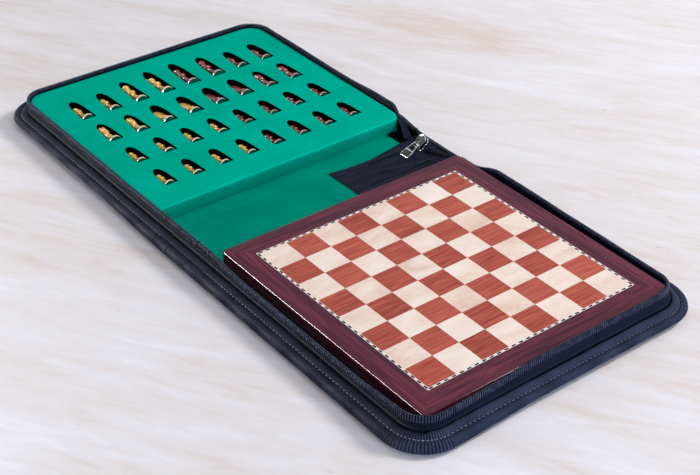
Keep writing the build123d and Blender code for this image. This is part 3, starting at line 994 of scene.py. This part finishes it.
def make_tray():
    """The felt and foam block, cut by all 32 slots."""
    rings = []
    for inward, height in rounded_edge(tray_round, felt_high.z, 7):
        radii = [max(0.4, radius - inward) for radius in tray_corners]
        outside = rounded_rectangle(
            felt_low.x + inward, felt_high.x - inward, felt_high.y - inward, radii)
        rings.append([(x, y, height) for x, y in outside])
    rings.insert(0, [(x, y, tray_foot) for x, y, z in rings[0]])
    block = loft("tray_foam_block", rings, felt, 60)
    cutters = []
    for line, base_x in line_base_x.items():
        for index in range(slots_in_line):
            length, width = men[kind_at(line, index)][2:]
            points = slot_outline(base_x + slot_slack, slot_y(index), length - slot_trim, width)
            rows = [[(x, y, z) for x, y in points] for z in (slot_floor, felt_high.z + 2)]
            cutters.append(loft("slot_cutter", rows, foam))
    carve(block, [join("slot_cutters", cutters)], tray_soft_rim)
    # Faces below the felt's top, on the block's sides, take the darker copy of the felt: painted shade.
    block.data.materials.append(shaded_side_felt)
    for polygon in block.data.polygons:
        if polygon.material_index == 0 and polygon.center.z < (felt_high.z - shaded_felt_depth) * mm:
            polygon.material_index = len(block.data.materials) - 1
    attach(block, "tray_half")
    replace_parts(block, "tray_felt", *[f"tray_foam_{line}" for line in line_base_x])


make_tray()


# Chessmen, turned from profiles of radius and height as shares of base radius and height.
profiles = {
    "pawn": [
        (0.97, 0.0), (1.0, 0.02), (1.0, 0.08), (0.93, 0.1), (0.86, 0.12), (0.84, 0.15), (0.66, 0.2),
        (0.5, 0.28), (0.4, 0.4), (0.36, 0.54), (0.4, 0.565), (0.6, 0.58), (0.64, 0.6), (0.58, 0.625),
        (0.42, 0.64), (0.4, 0.66), (0.5, 0.7), (0.59, 0.76), (0.62, 0.82), (0.58, 0.89), (0.46, 0.95),
        (0.26, 0.99), (0.0, 1.0),
    ],
    "rook": [
        (0.97, 0.0), (1.0, 0.02), (1.0, 0.08), (0.92, 0.1), (0.86, 0.12), (0.84, 0.16), (0.68, 0.21),
        (0.58, 0.3), (0.53, 0.45), (0.51, 0.62), (0.56, 0.645), (0.66, 0.66), (0.66, 0.69),
        (0.6, 0.71), (0.7, 0.75), (0.72, 0.82), (0.72, 1.0), (0.52, 1.0), (0.5, 0.88), (0.0, 0.88),
    ],
    "knight": [
        (0.97, 0.0), (1.0, 0.02), (1.0, 0.08), (0.92, 0.1), (0.86, 0.12), (0.84, 0.16), (0.7, 0.2),
        (0.66, 0.24), (0.76, 0.26), (0.78, 0.28), (0.72, 0.3), (0.0, 0.31),
    ],
    "bishop": [
        (0.97, 0.0), (1.0, 0.02), (1.0, 0.07), (0.92, 0.09), (0.86, 0.11), (0.82, 0.14), (0.62, 0.2),
        (0.46, 0.3), (0.37, 0.42), (0.34, 0.53), (0.42, 0.55), (0.64, 0.565), (0.66, 0.58),
        (0.5, 0.6), (0.38, 0.62), (0.44, 0.66), (0.56, 0.72), (0.58, 0.77), (0.52, 0.84),
        (0.36, 0.91), (0.18, 0.935), (0.2, 0.95), (0.22, 0.97), (0.16, 0.99), (0.0, 1.0),
    ],
    "queen": [
        (0.97, 0.0), (1.0, 0.02), (1.0, 0.065), (0.92, 0.085), (0.86, 0.1), (0.84, 0.13), (0.66, 0.17),
        (0.48, 0.26), (0.39, 0.38), (0.36, 0.5), (0.44, 0.525), (0.66, 0.54), (0.68, 0.555),
        (0.5, 0.575), (0.4, 0.6), (0.44, 0.68), (0.56, 0.78), (0.7, 0.86), (0.7, 0.88), (0.56, 0.89),
        (0.42, 0.93), (0.18, 0.945), (0.22, 0.96), (0.24, 0.975), (0.18, 0.99), (0.0, 1.0),
    ],
    "king": [
        (0.97, 0.0), (1.0, 0.02), (1.0, 0.06), (0.92, 0.08), (0.86, 0.095), (0.84, 0.12), (0.66, 0.16),
        (0.48, 0.24), (0.39, 0.36), (0.36, 0.48), (0.44, 0.5), (0.66, 0.515), (0.68, 0.53),
        (0.5, 0.55), (0.4, 0.57), (0.44, 0.64), (0.54, 0.72), (0.64, 0.79), (0.64, 0.81), (0.5, 0.83),
        (0.34, 0.86), (0.14, 0.87), (0.14, 0.88), (0.0, 0.885),
    ],
}
base_share = {"king": 0.07, "queen": 0.08, "bishop": 0.08, "knight": 0.08, "rook": 0.08, "pawn": 0.09}
head_rim = {
    "king": (0.64, 0.8), "queen": (0.7, 0.88), "bishop": (0.54, 0.78), "rook": (0.72, 1.0),
    "pawn": (0.58, 0.87),
}
horse_thickness = 5.2
horse = [
    (-0.26, 0.29), (0.24, 0.29), (0.25, 0.36), (0.18, 0.45), (0.14, 0.53), (0.22, 0.57), (0.36, 0.58),
    (0.43, 0.62), (0.42, 0.68), (0.34, 0.75), (0.24, 0.83), (0.12, 0.9), (0.06, 0.93), (0.02, 0.99),
    (-0.03, 1.0), (-0.08, 0.94), (-0.2, 0.89), (-0.31, 0.79), (-0.36, 0.66), (-0.36, 0.5), (-0.31, 0.38),
]
# Across the knight's head: where each outline lies and how large it is.
horse_slices = [(-0.5, 0.84), (-0.44, 0.93), (-0.28, 1.0), (0, 1.03), (0.28, 1.0), (0.44, 0.93), (0.5, 0.84)]
turned_sides = 36
# Arm and bar of the king's cross, the queen's coronet and the rook's notches, as shares.
cross_arm, cross_bar = 0.33, 0.12
coronet_balls, coronet_radius, coronet_level, coronet_ball = 8, 0.62, 0.885, 0.07
notch_width, notch_foot = 0.14, 0.9
lean_share = 0.7


def man_mesh(kind, wood, rim_highlight):
    """One kind of man, standing on the origin, in metres: wood, a paler rim that is a painted highlight, and
    a felt pad.
    """
    height, base = men[kind][:2]
    rings = []
    for share, up in profiles[kind]:
        radius = max(0.001, share * base / 2)
        rings.append([(radius * x, radius * y, up * height) for x, y in circle(turned_sides)])
    pieces = [loft(f"{kind}_turned", rings, wood, 50)]
    if kind == "king":
        arm, bar = cross_arm * base, cross_bar * base
        pieces.append(flared_bar(bar, bar * 0.8, arm * 1.05, height - arm * 1.05 / 2))
        pieces.append(flared_bar(arm, bar * 0.8, bar, height - arm / 2))
    if kind == "rook":
        cut_notches(pieces[0], height, base, wood)
    if kind == "knight":
        pieces.append(horse_head(height, base, wood))
    if kind == "queen":
        around, level = coronet_radius * base / 2, coronet_level * height
        for x, y in circle(coronet_balls):
            pieces.append(small_ball(around * x, around * y, level, coronet_ball * base))
    for piece in pieces[1:]:
        piece.data.materials.clear()
        piece.data.materials.append(wood)
    whole = join(f"{kind}_model", pieces) if len(pieces) > 1 else pieces[0]
    mesh = whole.data
    bpy.data.objects.remove(whole)
    mesh.materials.append(rim_highlight)
    mesh.materials.append(pad_felt)
    # The bottom faces take the felt pad; the base's rim takes the paler wood, a painted highlight.
    for polygon in mesh.polygons:
        if polygon.center.z < 0.001 * mm:
            polygon.material_index = 2
        elif polygon.center.z < base_share[kind] * height * mm:
            polygon.material_index = 1
    return mesh


def flared_bar(wide, deep, tall, level):
    """One bar of the king's cross, a little wider at its ends."""
    rings = []
    for share, flare in ((-0.5, 1.15), (-0.4, 1.2), (0, 0.85), (0.4, 1.2), (0.5, 1.15)):
        half_x, half = deep / 2 * flare, min(wide, tall) / 2 * flare
        along = share * max(wide, tall)
        ring = []
        for side, end in ((1, -1), (1, 1), (-1, 1), (-1, -1)):
            y, z = (along, end * half) if wide > tall else (end * half, along)
            ring.append((side * half_x, y, level + z))
        rings.append(ring)
    return loft("king_cross", rings, boxwood, 40)


def small_ball(x, y, z, radius):
    """A small turned ball of the queen's coronet."""
    rings = []
    for row in range(7):
        tilt = pi * row / 6
        around = max(0.001, radius * sin(tilt))
        level = z - radius * cos(tilt)
        rings.append([(x + around * across, y + around * up, level) for across, up in circle(10)])
    return loft("coronet", rings, boxwood, 60)


def cut_notches(tower, height, base, wood):
    """Cuts the rook's battlements."""
    half = notch_width * base / 2
    levels = notch_foot * height, 1.1 * height
    bars = []
    for x, y in ((base, half), (half, base)):
        rings = [[(-x, -y, z), (x, -y, z), (x, y, z), (-x, y, z)] for z in levels]
        bars.append(loft("notch", rings, wood))
    carve(tower, bars)


def horse_head(height, base, wood):
    """The knight's carved head: a bevelled outline that narrows towards the muzzle."""
    rings = []
    middle_y = sum(out for out, up in horse) / len(horse)
    middle_z = sum(up for out, up in horse) / len(horse)
    for share, size in horse_slices:
        ring = []
        for out, up in horse:
            narrow = 1 - 0.35 * ease(out, 0.1, 0.3) - 0.3 * ease(up, 0.85, 0.15)
            y = (middle_y + (out - middle_y) * size) * base
            z = (middle_z + (up - middle_z) * size) * height
            ring.append((share * horse_thickness * narrow, y, min(z, height)))
        rings.append(ring)
    return loft("horse_head", rings, wood, 35)


def lie_down(kind, name, y):
    """Where a man lies in his slot, on the rim of his base and on his head."""
    height, base = men[kind][:2]
    foot = base / 2
    rim = base_share[kind] * height
    if kind == "knight":
        lean = atan2(foot - horse_thickness / 2, height - rim)
    else:
        share, up = head_rim[kind]
        lean = atan2(foot * (1 - share), up * height - rim)
    x = high(name).x - foot * sin(lean)
    z = low(name).z + men_raise + foot * cos(lean) + rim * sin(lean)
    turn = Matrix.Rotation(-pi / 2 - lean_share * lean, 4, "Y")
    return Matrix.Translation(Vector((x, y, z)) * mm) @ turn


def place_men():
    """Lays each man in his slot."""
    meshes = {}
    counts = {}
    for colour, wood, rim_highlight in (("light", boxwood, pale_rim_highlight), ("dark", stained, dark_rim_highlight)):
        for kind in men:
            meshes[colour, kind] = man_mesh(kind, wood, rim_highlight)
    for line in line_base_x:
        for index in range(slots_in_line):
            kind = kind_at(line, index)
            colour = "light" if index < slots_in_line / 2 else "dark"
            counts[colour, kind] = counts.get((colour, kind), 0) + 1
            number = "" if kind in ("king", "queen") else f"_{counts[colour, kind]}"
            name = f"{colour}_{kind}{number}"
            man = new_object(f"{name}_turned", meshes[colour, kind])
            man.matrix_world = lie_down(kind, name, slot_y(index))
            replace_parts(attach(man, name), name)


place_men()


# Chess board: lacquered block with soft edges. The veneers and the steel keep their nodes.
board_corner, board_soft = 3.4, 1.3


def make_board():
    """The block, let in at the top for the steel sheet and the veneers."""
    half = (board_high.x - board_low.x) / 2
    middle_x = (board_high.x + board_low.x) / 2
    field = (high("board_banding") - low("board_banding")).x / 2
    thickness = board_high.z - board_low.z
    angles = [pi / 2 * index / 5 for index in range(6)]
    levels = [(board_soft * (1 - sin(angle)), board_soft * (1 - cos(angle))) for angle in angles]
    levels += rounded_edge(board_soft, thickness, 6)
    rings = []
    for inward, up in levels:
        reach = half - inward
        points = rounded_rectangle(middle_x - reach, middle_x + reach, reach, [board_corner - inward] * 4)
        rings.append([(x, y, board_low.z + up) for x, y in points])
    for up in (0.0, low("board_steel_sheet").z - board_high.z):
        points = rounded_rectangle(middle_x - field, middle_x + field, field, [0.01] * 4)
        rings.append([(x, y, board_high.z + up) for x, y in points])
    block = loft("lacquered_block", rings, rosewood, 30)
    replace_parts(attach(block, "chess_board"), "board_body")


make_board()
for node_name, material in {
    "dark_squares": padauk, "light_squares": maple, "board_banding": inlay, "board_steel_sheet": steel,
    "board_half_stiffener": cover_board, "tray_half_stiffener": cover_board,
}.items():
    slots = nodes[node_name].data.materials
    slots.clear()
    slots.append(material)


# Patch under the slider, and the two ends of the zip that come down to it.
patch_near, patch_back = 26.5, inside_y - 1.0
patch_left, patch_right = -20.0, 44.0
patch_top = lining_top + 0.35
patch_over, patch_under = 0.35, 0.25
patch_rows = 30
# A black sheet over the lining in the tray's back corner is painted shade: its left end and its near edge.
shade_sheet_left = low("tray_half_lining").x + 1.0
shade_sheet_near = 109.0
patch_bow, most_bow = -3.6, -9.0
# Folds of the patch: where each lies at mid-length, its slant, its width and its height.
patch_folds = [(-14, 0.2, 1.8, 1.1), (-6, -0.12, 1.5, 0.9), (9, 0.3, 2.2, 1.5), (21, 0.1, 1.6, 1.2)]


def patch_shift(x, y):
    """How far the patch's free edge bows from a straight one."""
    bow = patch_bow * (((y - 68) / 41) ** 2 + ease(y, 88, 22))
    return max(bow, most_bow) * ease(-x, middle_reach, -middle_reach - patch_left)


def patch_rings(first, last, near, shifted=True, step=1.4):
    """Rings of the patch: a thin sheet over the lining with soft folds."""
    rings = []
    for x in spread(first, last, step, 3):
        upper, lower = [], []
        for row in range(patch_rows + 1):
            y = near + (patch_back - near) * row / patch_rows
            swell = 1.1 * noise.noise((x / 9, y / 16, 8.0)) + 0.6 * noise.noise((x / 4, y / 9, 2.0)) + 0.6
            for fold_x, slant, wide, tall in patch_folds:
                aside = (x - fold_x - slant * (y - 90)) / wide
                swell += tall * exp(-aside * aside) * ease(y, 40, 35)
            edge = min(1.0, (y - near) / 2.5, abs(x - last) / 2.0 + 0.2)
            z = patch_top - patch_over + swell * max(0.0, edge)
            place_x = x + (patch_shift(x, y) if shifted else 0.0)
            upper.append((place_x, y, z + patch_over))
            lower.append((place_x, y, z - patch_under))
        rings.append(upper + lower[::-1])
    return rings


board_patch = loft("board_patch", patch_rings(patch_right, lining_start, patch_near), nylon, 60)
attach(board_patch, "board_half")
board_bend = patch_rings(lining_start, middle_reach, patch_near)
bend(loft("board_fold_patch", board_bend, nylon, 60), 1)
spine_patch = loft("spine_patch", patch_rings(middle_reach, -middle_reach, patch_near), nylon, 60)
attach(spine_patch, "spine")
bend(loft("tray_fold_patch", patch_rings(-middle_reach, patch_left, patch_near), nylon, 60), -1)
# Black foam laid over the lining behind the tray's back corner: a painted shadow, not a part of the case.
shade_sheet_rings = patch_rings(patch_left - 6, shade_sheet_left, shade_sheet_near, False)
bend(loft("tray_corner_shade_sheet", shade_sheet_rings, foam, 60), -1)


# Loose flap of tape beside the patch.
flap_start, flap_end = Vector((-52.0, 128.2, 15.2)), Vector((-27.0, 117.0, 10.2))
flap_width, flap_thickness, flap_curl, flap_steps = 7.0, 0.6, 0.7, 18
flap_arch, flap_wave = 1.6, 0.3


def make_flap():
    """A loose end of tape that hangs from the wall down to the patch, curled at its edges."""
    along = (flap_end - flap_start).normalized()
    aside = along.cross(Vector((0, 0, 1))).normalized()
    over = aside.cross(along)
    rings = []
    for index in range(flap_steps + 1):
        share = index / flap_steps
        rise = flap_arch * sin(pi * share) + flap_wave * sin(9 * share)
        middle = flap_start.lerp(flap_end, share) + over * rise
        upper, lower = [], []
        for column in range(9):
            across = (column / 4 - 1) * flap_width / 2 * (1 - 0.2 * sin(pi * share))
            curl = flap_curl * (column / 4 - 1) ** 4
            upper.append(tuple(middle + aside * across + over * (curl + flap_thickness)))
            lower.append(tuple(middle + aside * across + over * curl))
        rings.append(upper + lower[::-1])
    bend(loft("tray_tape_flap", rings, nylon, 60), -1)


make_flap()


# Slider: a foot on the patch from which it rises towards its nose, and its two plates.
slider_low, slider_high = low("zip_slider_body"), high("zip_slider_body")
slider_x = (slider_low.x + slider_high.x) / 2
slider_foot = Vector((slider_x - 1.5, slider_low.y + 6.6, slider_low.z + 0.3))
slider_length = 13.5
slider_half = (slider_high.x - slider_low.x) / 2 - 0.4
slider_tilt = radians(44)
plate, mouth = 1.1, 2.2
slider_top = 2 * plate + mouth
slider_rim, slider_rim_height = 0.8, 0.6
bridge_half, bridge_thick, bridge_rise, bridge_start = 1.1, 0.5, 4.6, 0.4
# Pull: longer than wide, with a neck, a window between two arms and a sunk panel.
pull_low, pull_high = low("zip_pull_tab"), high("zip_pull_tab")
pull_half = (pull_high.x - pull_low.x) / 2 + 0.7
pull_neck = pull_half * 0.68
pull_length, pull_thick, pull_slope = 17.3, 1.4, radians(27)
pull_place = Vector(((pull_low.x + pull_high.x) / 2, pull_high.y + 0.8, pull_high.z + 0.5))
# Ends of the zip's tape: how far from the slider's middle they stop, and their two heights.
tape_reach, tape_start_top, tape_end_top = 4.2, bead_top - 9.0, 11.9
tape_steps = 30
# Half width of the tape at the wall and at its end, its foot over the lining, and its ribs' depth.
tape_standing, tape_lying, tape_over_lining, tape_rib = 0.9, 3.5, 0.8, 0.22
back_y = wall_y - wall / 2


def mirrored(points):
    """An outline from its right half, from top to bottom."""
    return points + [(-x, y) for x, y in reversed(points)]


def tape_end(half, side):
    """A free end of the zip: ribbed tape that comes down from the wall and rolls over flat."""
    start_x, end_x = side * wall_start, slider_x + side * tape_reach
    end_y = slider_high.y - 3
    rings = []
    for index in range(tape_steps + 1):
        share = index / tape_steps
        x = start_x + (end_x - start_x) * share
        y = back_y + (end_y - back_y) * ease(share)
        top = tape_start_top + (tape_end_top - tape_start_top) * ease(share * 1.2)
        width = tape_standing + (tape_lying - tape_standing) * ease(share)
        foot = top + (lining_top + tape_over_lining - top) * (1 - 0.5 * ease(share))
        rib = tape_rib if index % 2 else -tape_rib
        ring = []
        for across, above in circle(12):
            narrow = 0.5 if above > 0.5 else 1.0
            up = (top + foot) / 2 + ((top - foot) / 2 + rib) * above
            ring.append((x, y + (width + rib) * across * narrow, up))
        rings.append(ring)
    return bend(loft(f"{half}_tape_end", rings, zip_tape, 60), side, 8.4)


def make_slider():
    """Slider of two plates on a wedge, with rims, a bridge and its nose raised by the tapes."""
    middle = slider_length - slider_half
    nose = [
        (slider_half * cos(pi * i / 14), middle + slider_half * sin(pi * i / 14)) for i in range(15)
    ]
    edge = [(slider_half * 0.8, 0)] + nose + [(-slider_half * 0.8, 0)]
    wedge = [(2.6, middle + 2), (1.4, 6), (0, 3.5), (-1.4, 6), (-2.6, middle + 2), (0, middle + 4)]
    scale = (slider_half - slider_rim) / slider_half
    low_rim, high_rim = slider_top - 0.3, slider_top + slider_rim_height
    rim_rings = []
    for x, y in edge:
        inner_x, inner_y = x * scale, middle + (y - middle) * scale
        rim_rings.append([
            (x, y, low_rim), (x, y, high_rim - 0.2), ((x + inner_x) / 2, (y + inner_y) / 2, high_rim),
            (inner_x, inner_y, high_rim - 0.2), (inner_x, inner_y, low_rim),
        ])
    bridge_rings = []
    for index in range(15):
        share = index / 14
        y = bridge_start + (middle + 0.2) * share
        rise = slider_top - 0.2 + bridge_rise * sin(pi * share) ** 0.55
        bridge_rings.append([(bridge_half * x, y, rise + bridge_thick * z) for x, z in circle(10)])
    # The top plate and the bridge take the near-black chrome: painted shade and dark reflection.
    body = join("zip_slider", [
        slab("slider_plate", edge, 0, plate, 0.35, chrome),
        slab("slider_plate", edge, slider_top - plate, slider_top, 0.35, dark_shaded_chrome),
        slab("slider_wedge", wedge, plate, slider_top - plate, 0.1, chrome),
        loft("slider_rim", rim_rings, chrome, 40),
        loft("slider_bridge", bridge_rings, dark_shaded_chrome, 50),
    ])
    turn = Matrix.Rotation(slider_tilt, 4, "X")
    body.data.transform(Matrix.Translation(slider_foot * mm) @ turn)
    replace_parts(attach(body, "spine"), "zip_slider_body")


def make_pull():
    """Pull tab: a solid end, a window between two arms, and the bar in the bridge."""
    half, neck, end = pull_half, pull_neck, -pull_length
    edge = mirrored([
        (half * 0.5, 0), (neck, -1.2), (neck, -5), (half, end + 7), (half, end + 1.2), (half - 1.2, end)])
    window = mirrored([(neck - 0.9, -1.6), (neck - 0.9, -5.1), (half - 1.3, end + 8.2)])
    panel = mirrored([(half - 0.8, end + 7.2), (half - 0.8, end + 1.3), (half - 1.3, end + 0.8)])
    tab = slab("zip_pull", edge, 0, pull_thick, 0.3, chrome)
    # The sunk panel takes the near-black chrome: painted shade.
    carve(tab, [
        slab("window", window, -1, pull_thick + 1, 0.01, chrome),
        slab("panel", panel, pull_thick - 0.35, pull_thick + 1, 0.01, dark_shaded_chrome),
    ], 0.15)
    turn = Matrix.Rotation(pull_slope, 4, "X")
    tab.data.transform(Matrix.Translation(pull_place * mm) @ turn)
    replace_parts(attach(tab, "zip_pull"), "zip_pull_tab")


make_slider()
make_pull()
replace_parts(tape_end("board", 1), "spine_zip_tape")
tape_end("tray", -1)


# Floor, backdrop and light.
floor_reach, floor_drop = 6.0, 0.0002
floor_corners = [(-1, -1), (1, -1), (1, 1), (-1, 1)]


def make_stage():
    """A wide pale floor under plain soft light."""
    mesh = bpy.data.meshes.new("floor")
    points = [(x * floor_reach, y * floor_reach, -floor_drop) for x, y in floor_corners]
    mesh.from_pydata(points, [], [(0, 1, 2, 3)])
    mesh.materials.append(floor_material())
    new_object("floor", mesh)


def add_light(name, position, target, size, power, colour, mirrored_only=False):
    """A soft lamp that faces a target: its width and height, and whether only gloss shows it."""
    data = bpy.data.lights.new(name, "AREA")
    data.shape = "RECTANGLE"
    data.size, data.size_y = size
    data.energy = power
    data.color = colour
    lamp = new_object(name, data)
    lamp.location = position
    lamp.rotation_euler = (Vector(target) - Vector(position)).to_track_quat("-Z", "Y").to_euler()
    lamp.visible_diffuse = not mirrored_only


# Colour of the room's light, and its strength from the near side and from the far side.
room_colour, near_strength, far_strength = (0.96, 0.95, 1, 1), 0.2, 0.8
make_stage()
add_light("key", (0.75, 2.1, 1.75), (0, 0, 0), (0.5, 0.5), 50, (1, 0.985, 0.96))
add_light("window", (1.9, -0.1, 0.35), (0.28, 0, 0), (0.8, 0.4), 23, (0.66, 0.78, 1))
add_light("near_glint", (-0.47, -0.76, 0.26), (0.15, -0.12, 0.02), (0.85, 0.3), 60, (1, 0.98, 1), True)
add_light("far_glint", (0.93, 0.62, 0.8), (0.27, -0.08, 0.02), (0.2, 0.2), 5, (1, 0.98, 1), True)
add_light("men_glint", (-0.95, -0.1, 0.75), (-0.15, 0, 0.01), (0.17, 0.17), 4, (1, 0.96, 0.95), True)
world = bpy.data.worlds.new("soft_room")
bpy.context.scene.world = world
world.use_nodes = True
room = world.node_tree
background = room.nodes["Background"]
background.inputs["Color"].default_value = room_colour
direction = node(room, "ShaderNodeTexCoord").outputs["Generated"]
depth = node(room, "ShaderNodeSeparateXYZ", {"Vector": direction}).outputs["Y"]
strengths = {"Value": depth, "From Min": -1, "To Min": near_strength, "To Max": far_strength}
shade = node(room, "ShaderNodeMapRange", strengths)
room.links.new(shade.outputs["Result"], background.inputs["Strength"])
bpy.context.scene.view_settings.view_transform = "Standard"
